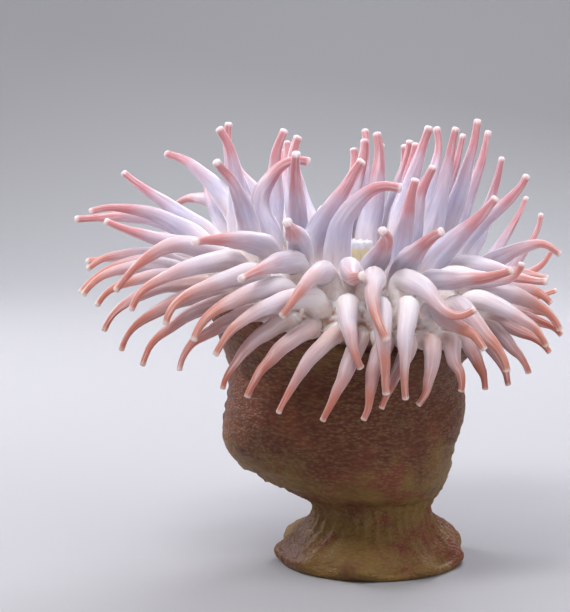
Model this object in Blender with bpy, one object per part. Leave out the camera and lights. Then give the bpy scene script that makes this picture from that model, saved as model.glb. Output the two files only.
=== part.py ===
"""A living sea anemone of the dahlia kind, life size, standing on its pedal disc with the crown open.

Lengths are in metres and angles in degrees. X points to the right and Y away from the side that the pose is
seen from. The origin is the middle of the pedal disc's underside, on the floor.
"""

import bmesh
import bpy
import numpy as np

GAP = 0.0003  # thin cut between neighbouring pieces

# The column: height, radius and sideways lean of its axis, from the floor up.
COLUMN_RINGS = (
    (0.000, 0.0415, 0.0000),
    (0.004, 0.0425, 0.0000),
    (0.010, 0.0380, 0.0000),
    (0.017, 0.0305, 0.0000),
    (0.025, 0.0270, -0.0005),
    (0.031, 0.0300, -0.0020),
    (0.036, 0.0385, -0.0060),
    (0.043, 0.0460, -0.0090),
    (0.052, 0.0505, -0.0120),
    (0.064, 0.0530, -0.0130),
    (0.078, 0.0525, -0.0130),
    (0.088, 0.0520, -0.0125),
)
COLUMN_CUTS = (0.000, 0.010, 0.036, 0.064, 0.088)  # heights where its pieces meet
COLUMN_PIECES = ("pedal_disc", "column_waist", "column_belly", "column_shoulder")
COLUMN_SIDES = 20

# The oral disc: a shallow dish round the mouth, then a rim that rolls over outwards.
MOUTH_X = -0.006
DISC_HEIGHT = 0.129
CREST_RADIUS = 0.048  # from the mouth to where the rim starts to roll over
ROLL_RADIUS = 0.015
DISH_RISE = 0.003
DISC_TILT = 0.17  # slope up to the left
DISC_NOD = 0.13  # slope up to the back
RIM_SHIFT = 0.0075  # how far the rim lies to the left of the mouth
RIM_WAVES = ((3, 0.0015, 1.0), (5, 0.0010, 0.0))  # waves round the rim, their height and their start
DISC_THICKNESS = 0.006
DISC_STEPS = 20  # facets round the disc
DISC_ROWS = (0.0070, 0.0175, 0.0303, 0.0424, 0.0538, 0.0590, 0.0642, 0.0691, 0.0740)  # along its surface

MOUTH_RINGS = ((-0.0045, 0.0062), (-0.0010, 0.0062), (0.0040, 0.0048), (0.0095, 0.0050), (0.0125, 0.0062))
MOUTH_SIDES = 16
SLIT = dict(half_length=0.0036, half_width=0.0013, depth=0.0090)
LIP_RADIUS = 0.0011
LIP_FRILLS = 5  # waves along each lip

SECTORS = 10  # the parts of a dahlia anemone come in tens

# Each cycle of tentacles, from the mouth outwards: how many in a sector, the azimuth of the first, where they
# grow and the band of the disc that they share, both along its surface, and their size.
CYCLES = {
    "inner": dict(per_sector=1, turn=0, arc=0.0240, band=(0.0175, 0.0303), radius=0.0055, length=0.060),
    "second": dict(per_sector=1, turn=18, arc=0.0363, band=(0.0303, 0.0424), radius=0.0053, length=0.060),
    "third": dict(per_sector=2, turn=9, arc=0.0474, band=(0.0424, 0.0538), radius=0.0048, length=0.059),
    "outer": dict(per_sector=3, turn=6, arc=0.0591, band=(0.0538, 0.0642), radius=0.0043, length=0.057),
    "margin": dict(per_sector=4, turn=4.5, arc=0.0691, band=(0.0642, 0.0740), radius=0.0040, length=0.056),
}
STEPS = 24  # links in a tentacle's line
SOLID_LINKS = {"outer": (0, 2, 8, 16, 24), "margin": (0, 2, 8, 16, 24)}  # where a solid tentacle bends
OTHER_LINKS = (0, 2, 6, 11, 17, 24)

# How high each cycle carries its tentacles: elevation near the root, in the middle and at the tip, where the
# crown hangs and where it is lifted.
HANGING = {
    "inner": (78, 76, 70),
    "second": (62, 45, 30),
    "third": (35, -5, -40),
    "outer": (8, -45, -70),
    "margin": (-25, -70, -82),
}
LIFTED = {
    "inner": (84, 84, 88),
    "second": (78, 80, 86),
    "third": (76, 80, 88),
    "outer": (62, 74, 88),
    "margin": (42, 62, 84),
}
# Round the crown, by azimuth (0 right, 90 away, 180 left, 270 near): how far it is lifted, and how long its
# tentacles are.
ROUND_CROWN = (
    (0, 0.45, 0.88),
    (30, 0.90, 1.12),
    (60, 1.00, 1.10),
    (82, 0.75, 1.04),
    (93, 0.08, 0.98),
    (125, 0.15, 0.97),
    (150, 0.50, 1.00),
    (175, 0.45, 1.04),
    (200, 0.20, 1.00),
    (225, 0.00, 0.96),
    (270, 0.00, 0.86),
    (300, 0.00, 0.84),
    (330, 0.15, 0.86),
)

# How the front of the crown falls, seen from the front: azimuth of the root, then the heading near the root
# (0 right, 90 up), its lean toward the viewer, the headings in the middle and at the tip, and the length.
FALL = {
    "outer": (
        (198, 165, 16, 167, 158, 0.93),
        (210, 165, 20, 207, 237, 1.03),
        (222, 184, 30, 205, 247, 1.04),
        (234, 191, 38, 205, 252, 1.10),
        (258, 189, 34, 209, 248, 1.15),
        (270, 277, 40, 286, 292, 0.86),
        (282, 273, 32, 274, 276, 1.03),
        (294, 266, 34, 268, 275, 0.98),
        (306, 322, 54, 335, 293, 0.94),
        (318, 313, 42, 309, 277, 0.98),
        (330, 342, 22, 328, 296, 0.95),
        (342, 353, 8, 333, 298, 0.99),
        (354, 364, 5, 345, 315, 0.85),
        (366, 372, -7, 355, 353, 0.72),
    ),
    "margin": (
        (175, 156, 5, 183, 216, 0.93),
        (184, 162, 10, 194, 230, 0.99),
        (202, 174, 14, 199, 240, 0.99),
        (212, 182, 25, 208, 248, 1.10),
        (221, 189, 26, 209, 251, 1.20),
        (239, 198, 28, 217, 262, 1.00),
        (248, 214, 24, 233, 260, 0.91),
        (266, 222, 20, 236, 243, 0.93),
        (275, 245, 20, 248, 247, 0.87),
        (284, 246, 24, 258, 250, 0.85),
        (293, 253, 30, 250, 253, 0.78),
        (302, 271, 38, 257, 231, 0.74),
        (311, 280, 44, 292, 254, 0.64),
        (329, 312, 44, 301, 275, 0.64),
        (347, 347, 40, 335, 308, 0.70),
        (356, 359, 14, 343, 316, 0.69),
        (365, 360, -24, 350, 336, 0.70),
    ),
}

# Tentacles with a pose of their own, seen from the front: headings near the root, in the middle and at the
# tip, then the lean toward the viewer near the root and at the tip, and the length.
POSED = {
    ("inner", 0): (82, 76, 60, 10, 0, 1.0),
    ("inner", 1): (76, 73, 71, -5, -10, 0.94),
    ("inner", 2): (78, 82, 100, -20, -20, 0.95),
    ("inner", 3): (66, 68, 86, -25, -30, 1.03),
    ("inner", 4): (106, 100, 68, -30, -15, 0.98),
    ("inner", 5): (92, 93, 88, 38, 30, 1.0),
    ("inner", 6): (62, 58, 60, 5, 0, 1.0),
    ("inner", 7): (86, 45, -12, 12, 5, 1.0),
    ("inner", 8): (64, 76, 130, 60, 58, 1.0),
    ("inner", 9): (82, 80, 76, 10, 0, 1.0),
    ("second", 0): (73, 78, 75, -5, -10, 1.06),
    ("second", 1): (74, 78, 80, -20, -20, 0.87),
    ("second", 2): (81, 81, 97, -30, -25, 0.84),
    ("second", 3): (104, 100, 92, -35, -30, 0.88),
    ("second", 4): (85, 89, 61, -10, -10, 0.98),
    ("second", 5): (114, 54, -10, 2, -6, 1.0),
    ("second", 6): (112, 108, 105, 64, 66, 1.0),
    ("second", 7): (255, 30, 120, 60, 50, 0.8),
    ("second", 8): (70, 50, 40, 45, 40, 1.0),
    ("second", 9): (49, 45, 52, 18, 5, 1.08),
    ("third", 0): (51, 37, 63, 0, 0, 1.03),
    ("third", 1): (66, 74, 80, -5, -10, 1.11),
    ("third", 2): (76, 72, 98, -22, -20, 1.03),
    ("third", 3): (81, 72, 82, -8, -6, 0.80),
    ("third", 4): (82, 84, 90, -40, -35, 1.0),
    ("third", 5): (180, 230, 250, -80, -60, 0.9),
    ("third", 6): (108, 102, 90, -50, -50, 0.9),
    ("third", 7): (130, 128, 120, -40, -40, 0.95),
    ("third", 8): (112, 106, 80, -5, -10, 0.89),
    ("third", 9): (126, 142, 172, -30, -40, 1.05),
    ("third", 10): (89, 101, 123, 5, 0, 0.95),
    ("third", 11): (98, 112, 132, 42, 35, 1.0),
    ("third", 12): (160, 172, 185, 48, 50, 1.0),
    ("third", 13): (190, 185, 190, 60, 55, 1.0),
    ("third", 14): (205, 218, 235, 60, 10, 1.0),
    ("third", 15): (280, 285, 300, 62, 30, 1.0),
    ("third", 16): (330, 318, 400, 58, 0, 1.0),
    ("third", 17): (362, 372, 382, 45, 20, 1.0),
    ("third", 18): (352, 364, 432, 25, 0, 0.9),
    ("third", 19): (360, 342, 362, 30, 15, 0.92),
    ("outer", 1): (33, 20, -45, 10, 0, 0.80),
    ("outer", 3): (65, 69, 78, -16, -9, 1.07),
    ("outer", 4): (60, 69, 80, -20, -2, 1.10),
    ("outer", 5): (76, 83, 93, -32, -3, 0.86),
    ("outer", 12): (112, 116, 120, -50, -55, 0.75),
    ("outer", 13): (148, 146, 143, -12, -10, 0.88),
    ("outer", 14): (156, 181, 186, 0, 0, 1.12),
    ("outer", 15): (142, 168, 196, 5, 0, 1.06),
    ("margin", 1): (13, 8, 17, -3, -13, 0.70),
    ("margin", 2): (31, 27, 59, -18, -3, 0.78),
    ("margin", 3): (30, 49, 78, -25, -10, 1.12),
    ("margin", 4): (38, 53, 66, -28, -17, 1.05),
}

# Thickness down a tentacle, from its root, and where along it the headings above are reached.
TAPER = ((0, 1.0), (0.2, 1.04), (0.4, 0.94), (0.6, 0.70), (0.75, 0.47), (0.88, 0.33), (1.0, 0.29))
UPRIGHT_TO, NEAR_AT, MIDDLE_AT = 0.06, 0.30, 0.66
ROOT_DEPTH = 0.0015
CLIMB_VARIES, SWAY_VARIES, FALL_VARIES = 6, 7, 3  # degrees
LENGTH_VARIES = 0.05
SEED = 7

CLEARANCE = 0.0014  # kept free between two tentacles
ROUNDS = 160
PULL_BACK = 0.03  # toward the pose, each round but the last ones
PULL_ROUNDS = 96
STIFFNESS = 0.25
EAGERNESS = 1.2
ROOTED, SET_FREE = 0.03, 0.25  # share of a tentacle that can't move, and over which it comes free
TINY = 1e-9


def blend_keys(keys, at):
    """Value of (position, value) keys at a position, joined by smooth steps."""
    places = np.array([k[0] for k in keys], float)
    values = np.array([k[1:] for k in keys], float)
    at = np.clip(np.asarray(at, float), places[0], places[-1])
    i = np.clip(np.searchsorted(places, at, side="right") - 1, 0, len(places) - 2)
    t = (at - places[i]) / (places[i + 1] - places[i])
    t = (t * t * (3 - 2 * t))[..., None]
    found = values[i] * (1 - t) + values[i + 1] * t
    return found[..., 0] if values.shape[1] == 1 else found


def blend_around(keys, azimuth):
    """Values of keys that start with an azimuth, joined round the full turn."""
    around = [(key[0] + turn, *key[1:]) for turn in (-360, 0, 360) for key in keys]
    return blend_keys(around, np.mod(azimuth, 360))


def crown_point(arc, azimuth, depth=0.0):
    """Point of the oral disc at a distance along its surface from the mouth, and at a depth under it."""
    arc, azimuth = np.asarray(arc, float), np.radians(azimuth)
    roll = np.maximum(arc - CREST_RADIUS, 0) / ROLL_RADIUS
    rise = np.minimum(arc / CREST_RADIUS, 1)
    across = np.minimum(arc, CREST_RADIUS) + (ROLL_RADIUS - depth) * np.sin(roll)
    up = DISH_RISE * rise * rise * (3 - 2 * rise) - ROLL_RADIUS + (ROLL_RADIUS - depth) * np.cos(roll)
    share = across / (CREST_RADIUS + ROLL_RADIUS)
    x = across * np.cos(azimuth) - RIM_SHIFT * share
    y = across * np.sin(azimuth)
    wave = sum(height * np.cos(count * azimuth + start) for count, height, start in RIM_WAVES)
    z = DISC_HEIGHT + up - DISC_TILT * x + DISC_NOD * y + wave * share * share
    return np.stack([x + MOUTH_X, y, z], axis=-1)


def along(elevation, azimuth):
    """Unit direction at an elevation above the floor and an azimuth."""
    e, a = np.radians(elevation), np.radians(azimuth)
    return np.stack([np.cos(e) * np.cos(a), np.cos(e) * np.sin(a), np.sin(e)], axis=-1)


def as_seen(heading, toward):
    """Unit direction that points at a heading in the front view and leans toward the viewer."""
    h, t = np.radians(heading), np.radians(toward)
    return np.stack([np.cos(t) * np.cos(h), -np.sin(t), np.cos(t) * np.sin(h)], axis=-1)


def headings_of(cycle, index, azimuth, raised, rng):
    """Directions of a tentacle near its root, in its middle and at its tip, and how much longer it is."""
    low, high = np.array(HANGING[cycle], float), np.array(LIFTED[cycle], float)
    climb = low * (1 - raised) + high * raised + rng.normal(0, CLIMB_VARIES, 3)
    sway = np.cumsum(rng.normal(0, SWAY_VARIES, 3))
    if (cycle, index) in POSED:
        near, middle, tip, lean, last_lean, longer = POSED[cycle, index]
        return as_seen((near, middle, tip), (lean, (lean + last_lean) / 2, last_lean)), longer
    fall = FALL.get(cycle, ((360,), (0,)))
    beyond = azimuth if azimuth >= fall[0][0] else azimuth + 360
    if beyond <= fall[-1][0]:
        *angles, longer = blend_keys(fall, beyond)
        near, lean, middle, tip = np.array(angles) + rng.normal(0, FALL_VARIES, 4)
        return as_seen((near, middle, tip), (lean, lean * 0.4, lean * 0.1)), longer
    return along(climb, azimuth + sway), 1.0


def tentacle_plan():
    """Every tentacle: its cycle, sector, root, size and headings."""
    rng = np.random.default_rng(SEED)
    plan = []
    for cycle, size in CYCLES.items():
        count = SECTORS * size["per_sector"]
        for i in range(count):
            azimuth = i * 360 / count + size["turn"]
            raised, around = blend_around(ROUND_CROWN, azimuth)
            varied = 1 + rng.normal(0, LENGTH_VARIES)
            headings, longer = headings_of(cycle, i, azimuth, raised, rng)
            plan.append(
                dict(
                    cycle=cycle,
                    index=i,
                    sector=i // size["per_sector"],
                    arc=size["arc"],
                    azimuth=azimuth,
                    radius=size["radius"],
                    length=size["length"] * around * varied * longer,
                    headings=headings,
                )
            )
    return plan


def rest_lines(plan):
    """Points down the middle of each tentacle as posed, before the tentacles make room for each other."""
    share = np.linspace(0, 1, STEPS + 1)
    lines = np.zeros((len(plan), STEPS + 1, 3))
    radii = np.zeros((len(plan), STEPS + 1))
    for n, t in enumerate(plan):
        root = crown_point(t["arc"], t["azimuth"], ROOT_DEPTH)
        normal = crown_point(t["arc"], t["azimuth"]) - root
        normal /= np.linalg.norm(normal)
        near, halfway, tip = t["headings"]
        keys = [(0.0, *normal), (UPRIGHT_TO, *normal), (NEAR_AT, *near), (MIDDLE_AT, *halfway), (1.0, *tip)]
        middle = (share[1:] + share[:-1]) / 2
        way = blend_keys(keys, middle)
        way /= np.linalg.norm(way, axis=1)[:, None]
        steps = way * (t["length"] + ROOT_DEPTH) / STEPS
        lines[n] = root + np.vstack([np.zeros(3), np.cumsum(steps, axis=0)])
        radii[n] = t["radius"] * blend_keys(TAPER, share)
    return lines, radii


def column_ring(height):
    """Radius and lean of the column at a height."""
    heights = [ring[0] for ring in COLUMN_RINGS]
    sizes = [np.interp(height, heights, [ring[k] for ring in COLUMN_RINGS]) for k in (1, 2)]
    return np.stack(sizes, axis=-1)


def push_off_body(points, radii, free):
    """Moves points out of the column, out of the rolled rim and off the top of the disc."""
    around = column_ring(np.clip(points[..., 2], 0, COLUMN_RINGS[-1][0]))
    from_axis = points[..., :2] - np.stack([around[..., 1], np.zeros_like(points[..., 0])], axis=-1)
    distance = np.linalg.norm(from_axis, axis=-1)
    short = np.maximum(around[..., 0] + radii + CLEARANCE - distance, 0)
    below = points[..., 2] < DISC_HEIGHT - ROLL_RADIUS
    points[..., :2] += from_axis * (short * free * below / np.maximum(distance, TINY))[..., None]
    # The rim is a ring of tube round the crest, so a point is measured from the middle of that tube.
    azimuth = np.arctan2(points[..., 1], points[..., 0] - MOUTH_X + RIM_SHIFT)
    outward = np.stack([np.cos(azimuth), np.sin(azimuth)], axis=-1)
    away = points - crown_point(CREST_RADIUS, np.degrees(azimuth), ROLL_RADIUS)
    beyond = (away[..., :2] * outward).sum(-1)
    reach = np.hypot(beyond, away[..., 2])
    short = np.maximum(ROLL_RADIUS + radii + CLEARANCE - reach, 0) * (beyond > 0) * free
    points[..., :2] += outward * (short * beyond / np.maximum(reach, TINY))[..., None]
    points[..., 2] += short * away[..., 2] / np.maximum(reach, TINY)
    short = np.maximum(ROLL_RADIUS + radii + CLEARANCE - away[..., 2], 0)
    points[..., 2] += short * free * (beyond <= 0) * (away[..., 2] > -ROLL_RADIUS)


def near_pairs(points, radii, owners):
    """Pairs of points of different tentacles that are close enough to matter."""
    found = []
    flat = points.astype(np.float32)
    for start in range(0, len(flat), 512):
        block = flat[start : start + 512]
        gaps = ((block[:, None, :] - flat[None]) ** 2).sum(-1)
        reach = radii[start : start + 512, None] + radii[None] + 4 * CLEARANCE
        i, j = np.nonzero(gaps < reach * reach)
        i = i + start
        keep = (i < j) & (owners[i] != owners[j])
        found.append(np.stack([i[keep], j[keep]]))
    return np.concatenate(found, axis=1)


def push_apart(lines, radii, free, i, j):
    """How far each point has to move for the pairs i and j to keep their clearance."""
    points, free = lines.reshape(-1, 3), free.ravel()
    away = points[i] - points[j]
    distance = np.linalg.norm(away, axis=1)
    short = np.maximum(radii.ravel()[i] + radii.ravel()[j] + CLEARANCE - distance, 0)
    share = short / np.maximum((free[i] + free[j]) * distance, TINY)
    move = np.zeros_like(points)
    hits = np.ones(len(points))
    np.add.at(move, i, away * (share * free[i])[:, None])
    np.add.at(move, j, -away * (share * free[j])[:, None])
    np.add.at(hits, i, short > 0)
    np.add.at(hits, j, short > 0)
    return (move / np.maximum(hits - 1, 1)[:, None]).reshape(lines.shape)


def make_room(lines, radii):
    """Lets the tentacles push each other and the body aside, each keeping its length and nearly its pose."""
    rest = lines.copy()
    free = np.clip((np.linspace(0, 1, STEPS + 1) - ROOTED) / SET_FREE, 0, 1) * np.ones((len(lines), 1))
    link = np.linalg.norm(rest[:, 1:] - rest[:, :-1], axis=2)
    owners = np.repeat(np.arange(len(lines)), STEPS + 1)
    for turn in range(ROUNDS):
        if turn % 8 == 0:
            i, j = near_pairs(lines.reshape(-1, 3), radii.ravel(), owners)
        if turn < PULL_ROUNDS:
            lines += (rest - lines) * PULL_BACK * free[..., None]
        move = push_apart(lines, radii, free, i, j) * EAGERNESS
        # A push on one point is shared with its neighbours, so that the line bends and doesn't kink.
        for _ in range(2):
            move[:, 1:-1] = (move[:, :-2] + 2 * move[:, 1:-1] + move[:, 2:]) / 4
        lines += move
        push_off_body(lines, radii, free)
        bend = lines[:, :-2] - 2 * lines[:, 1:-1] + lines[:, 2:]
        own_bend = rest[:, :-2] - 2 * rest[:, 1:-1] + rest[:, 2:]
        lines[:, 1:-1] += (bend - own_bend) * STIFFNESS * free[:, 1:-1, None]
        for k in range(STEPS):
            way = lines[:, k + 1] - lines[:, k]
            way /= np.linalg.norm(way, axis=1)[:, None]
            lines[:, k + 1] = lines[:, k] + way * link[:, k][:, None]
    return lines


def new_collection(name):
    made = bpy.data.collections.new(name)
    bpy.context.scene.collection.children.link(made)
    return made


def new_material(name, color, roughness):
    made = bpy.data.materials.new(name)
    made.use_nodes = True
    shader = made.node_tree.nodes["Principled BSDF"]
    shader.inputs["Base Color"].default_value = (*color, 1.0)
    shader.inputs["Roughness"].default_value = roughness
    shader.inputs["Metallic"].default_value = 0.0
    shader.inputs["IOR"].default_value = 1.38
    return made


def add_object(name, mesh, collection, material=None):
    made = bpy.data.objects.new(name, mesh)
    collection.objects.link(made)
    if material:
        mesh.materials.append(material)
    for face in mesh.polygons:
        face.use_smooth = True
    return made


def loft(name, rings):
    """Closed mesh through rings of equal count, given from the bottom up, with a flat cap at each end."""
    count = len(rings[0])
    points = [tuple(p) for ring in rings for p in ring]
    faces = [tuple(range(count))[::-1], tuple(range(len(points) - count, len(points)))]
    for row in range(len(rings) - 1):
        for k in range(count):
            a, b = row * count + k, row * count + (k + 1) % count
            faces.append((a, b, b + count, a + count))
    mesh = bpy.data.meshes.new(name)
    mesh.from_pydata(points, [], faces)
    return mesh


def circle(radius, height, lean=0.0, sides=COLUMN_SIDES):
    turn = np.linspace(0, 2 * np.pi, sides, endpoint=False)
    return np.stack([lean + radius * np.cos(turn), radius * np.sin(turn), np.full(sides, height)], axis=1)


def build_column(collection, material):
    """The column in lengths, cut level, from the pedal disc up to the shoulder."""
    for piece, low, high in zip(COLUMN_PIECES, COLUMN_CUTS, COLUMN_CUTS[1:]):
        bottom = low if low == 0 else low + GAP / 2
        heights = [bottom, *(ring[0] for ring in COLUMN_RINGS if low < ring[0] < high), high - GAP / 2]
        rings = [circle(radius, z, lean) for z, (radius, lean) in zip(heights, column_ring(heights))]
        add_object(piece, loft(piece, rings), collection, material)


def build_collar(collection, material):
    """The top of the column, which widens to carry the disc, hollowed to the disc's underside."""
    turn = np.arange(COLUMN_SIDES) * 360 / COLUMN_SIDES
    base = COLUMN_CUTS[-1] + GAP / 2
    radius, lean = column_ring(base)
    low = circle(radius, base, lean)
    depth = DISC_THICKNESS + GAP
    top = [crown_point(arc, turn, depth) for arc in DISC_ROWS[::-1]]
    middle = low * 0.45 + top[0] * 0.55
    middle[:, 2] = base + (top[0][:, 2] - base) * 0.5
    add_object("collar", loft("collar", [low, middle, *top]), collection, material)


def patch_mesh(name, rows, first, steps):
    """Closed piece of the disc's wall between rows, from one azimuth over a number of steps."""
    whole = steps == DISC_STEPS
    azimuths = first + np.arange(steps + (0 if whole else 1)) * 360.0 / DISC_STEPS
    rows = [rows[0] + GAP / 2, *rows[1:-1], rows[-1] - GAP / 2]
    corners = []
    for depth in (0.0, DISC_THICKNESS):
        for arc in rows:
            line = crown_point(arc, azimuths, depth)
            if not whole:
                for end, inward in ((0, 1), (-1, -2)):
                    way = line[inward] - line[end]
                    line[end] += way / np.linalg.norm(way) * GAP / 2
            corners.append(line)
    across = len(azimuths)
    points = np.concatenate(corners)
    under = len(rows) * across
    faces = []
    last = across if whole else across - 1
    for row in range(len(rows) - 1):
        for k in range(last):
            a, b = row * across + k, row * across + (k + 1) % across
            faces.append((a, a + across, b + across, b))
            faces.append((a + under, b + under, b + across + under, a + across + under))
    for k in range(last):
        a, b = k, (k + 1) % across
        faces.append((a, b, b + under, a + under))
        a, b = a + under - across, b + under - across
        faces.append((a, a + under, b + under, b))
    if not whole:
        for row in range(len(rows) - 1):
            a = row * across
            faces.append((a, a + under, a + across + under, a + across))
            a += across - 1
            faces.append((a, a + across, a + across + under, a + under))
    mesh = bpy.data.meshes.new(name)
    mesh.from_pydata([tuple(p) for p in points], [], faces)
    return mesh


def tube(name, line, radii, tip_links):
    """Tentacle as a round curve through a few points of its line, made a closed mesh."""
    curve = bpy.data.curves.new(name, "CURVE")
    curve.dimensions = "3D"
    curve.bevel_depth = 1.0
    curve.bevel_resolution = 1
    curve.use_fill_caps = True
    spline = curve.splines.new("POLY")
    spline.points.add(len(tip_links) - 1)
    for point, k in zip(spline.points, tip_links):
        point.co = (*line[k], 1.0)
        point.radius = radii[k]
    helper = bpy.data.objects.new(name, curve)
    bpy.context.scene.collection.objects.link(helper)
    evaluated = helper.evaluated_get(bpy.context.evaluated_depsgraph_get())
    mesh = bpy.data.meshes.new_from_object(evaluated)
    bpy.data.objects.remove(helper)
    bpy.data.curves.remove(curve)
    return mesh


def weld(target, meshes):
    """Joins meshes into one, closing the seams that a curve's caps leave."""
    joined = bmesh.new()
    for mesh in meshes:
        joined.from_mesh(mesh)
    bmesh.ops.remove_doubles(joined, verts=joined.verts, dist=0.00001)
    bmesh.ops.recalc_face_normals(joined, faces=joined.faces)
    joined.to_mesh(target)
    joined.free()
    for mesh in meshes:
        bpy.data.meshes.remove(mesh)


def add_boolean(target, name, operation):
    """Adds a Boolean modifier that works with the cutter of a given name."""
    boolean = target.modifiers.new(name, "BOOLEAN")
    boolean.operation = operation
    boolean.solver = "EXACT"
    boolean.object = bpy.data.objects[name]


def add_cutter(name, mesh, collection):
    made = bpy.data.objects.new(name, mesh)
    collection.objects.link(made)
    made.hide_render = True
    made.display_type = "WIRE"
    return made


def build_crown(collection, cutters, materials, plan, lines, radii):
    """Each sector of each band of the disc, with the tentacles that grow from it."""
    step = 360.0 / DISC_STEPS
    for cycle, size in CYCLES.items():
        rows = [arc for arc in DISC_ROWS if size["band"][0] <= arc <= size["band"][1]]
        for sector in range(SECTORS):
            first = (sector * 2 - (1 if cycle == "inner" else 0)) * step
            name = f"tentacles_{cycle}_{sector + 1:02d}"
            piece = add_object(name, patch_mesh(name, rows, first, 2), collection, materials[cycle])
            grown = bpy.data.meshes.new(name + "_tubes")
            own = [n for n, t in enumerate(plan) if t["cycle"] == cycle and t["sector"] == sector]
            links = SOLID_LINKS.get(cycle, OTHER_LINKS)
            weld(grown, [tube(name, lines[n], radii[n], links) for n in own])
            add_cutter(name + "_tubes", grown, cutters)
            add_boolean(piece, name + "_tubes", "UNION")


def build_mouth(collection, cutters, materials):
    """The middle of the disc, and the mouth that stands up from it with a frilled lip on each side."""
    disc = patch_mesh("oral_disc", DISC_ROWS[:2], 0, DISC_STEPS)
    add_object("oral_disc", disc, collection, materials["disc"])
    middle = crown_point(DISC_ROWS[0], np.arange(0, 360, 10)).mean(axis=0)
    rings = [circle(radius, middle[2] + height, middle[0], MOUTH_SIDES) for height, radius in MOUTH_RINGS]
    mouth = add_object("mouth_cone", loft("mouth_cone", rings), collection, materials["mouth"])
    top = middle[2] + MOUTH_RINGS[-1][0]
    bpy.ops.mesh.primitive_cylinder_add(vertices=12, radius=1.0, depth=1.0)
    slit = bpy.context.object
    slit.name = "mouth_slit"
    slit.scale = (SLIT["half_length"], SLIT["half_width"], SLIT["depth"] * 2)
    slit.location = (middle[0], middle[1], top)
    bpy.ops.object.transform_apply()
    for owner in slit.users_collection:
        owner.objects.unlink(slit)
    cutters.objects.link(slit)
    slit.hide_render = True
    slit.display_type = "WIRE"
    add_boolean(mouth, "mouth_slit", "DIFFERENCE")
    for side, name in ((-1, "lip_near"), (1, "lip_far")):
        turn = np.linspace(12, 168, 2 * LIP_FRILLS) * side
        wave = np.where(np.arange(len(turn)) % 2, 0.0006, -0.0006)
        line = np.stack(
            [
                middle[0] + (MOUTH_RINGS[-1][1] - 0.0014 + wave) * np.cos(np.radians(turn)),
                middle[1] + (MOUTH_RINGS[-1][1] - 0.0014 + wave) * np.sin(np.radians(turn)),
                np.full(len(turn), top + LIP_RADIUS + GAP) + np.abs(wave),
            ],
            axis=1,
        )
        mesh = bpy.data.meshes.new(name)
        weld(mesh, [tube(name, line, np.full(len(turn), LIP_RADIUS), range(len(turn)))])
        add_object(name, mesh, collection, materials["lips"])


def build():
    for old in list(bpy.data.objects):
        bpy.data.objects.remove(old)
    parts = new_collection("sea_anemone")
    cutters = new_collection("cutters")
    materials = {
        "column": new_material("column", (0.36, 0.27, 0.15), 0.55),
        "disc": new_material("disc", (0.82, 0.74, 0.62), 0.45),
        "mouth": new_material("mouth", (0.86, 0.80, 0.55), 0.40),
        "lips": new_material("lips", (0.74, 0.80, 0.82), 0.40),
        "inner": new_material("tentacles_inner", (0.84, 0.76, 0.76), 0.35),
        "second": new_material("tentacles_second", (0.85, 0.75, 0.74), 0.35),
        "third": new_material("tentacles_third", (0.86, 0.73, 0.70), 0.35),
        "outer": new_material("tentacles_outer", (0.87, 0.70, 0.64), 0.35),
        "margin": new_material("tentacles_margin", (0.86, 0.62, 0.52), 0.35),
    }
    plan = tentacle_plan()
    lines, radii = rest_lines(plan)
    lines = make_room(lines, radii)
    build_column(parts, materials["column"])
    build_collar(parts, materials["column"])
    build_mouth(parts, cutters, materials)
    build_crown(parts, cutters, materials, plan, lines, radii)


if __name__ == "__main__":
    build()
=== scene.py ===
import math

import bpy
import numpy as np
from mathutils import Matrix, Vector


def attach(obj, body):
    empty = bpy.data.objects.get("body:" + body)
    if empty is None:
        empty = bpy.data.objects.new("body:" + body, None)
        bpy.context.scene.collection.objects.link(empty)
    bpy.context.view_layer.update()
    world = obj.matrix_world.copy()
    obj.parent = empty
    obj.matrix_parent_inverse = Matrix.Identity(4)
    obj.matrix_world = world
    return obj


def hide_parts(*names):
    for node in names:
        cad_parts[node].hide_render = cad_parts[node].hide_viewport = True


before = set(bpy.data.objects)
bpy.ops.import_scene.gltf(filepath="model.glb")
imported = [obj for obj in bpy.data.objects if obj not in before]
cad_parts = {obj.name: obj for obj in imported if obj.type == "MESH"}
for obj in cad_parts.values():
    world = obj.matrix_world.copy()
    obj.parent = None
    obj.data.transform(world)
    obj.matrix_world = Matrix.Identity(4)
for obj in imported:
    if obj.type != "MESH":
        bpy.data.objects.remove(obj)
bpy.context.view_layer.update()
scene = bpy.context.scene
print("frame loaded,", len(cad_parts), "nodes")

# Everything is in metres. X is to the right, Y away from the camera, Z up from the floor.
# Headings and azimuths are in degrees.

column = {
    # height, radius and sideways lean of the axis, from the floor up
    "rings": (
        (0.000, 0.0415, 0.0000), (0.004, 0.0425, 0.0000), (0.010, 0.0380, 0.0000), (0.017, 0.0305, 0.0000),
        (0.025, 0.0270, -0.0005), (0.031, 0.0300, -0.0020), (0.036, 0.0385, -0.0060),
        (0.043, 0.0460, -0.0090), (0.052, 0.0505, -0.0120), (0.064, 0.0530, -0.0130),
        (0.078, 0.0525, -0.0130), (0.088, 0.0520, -0.0125),
    ),
}

crown = {
    "mouthX": -0.006,
    "height": 0.129,
    "crest": 0.048,  # from the mouth to where the rim starts to roll over
    "roll": 0.015,  # radius of the rolled rim
    "dishRise": 0.003,
    "tilt": 0.17,  # slope up to the left
    "nod": 0.13,  # slope up to the back
    "rimShift": 0.0075,  # how far the rim lies to the left of the mouth
    "rimWaves": ((3, 0.0015, 1.0), (5, 0.0010, 0.0)),
    "lastArc": 0.0740,
    "firstArc": 0.0070,
}

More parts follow.
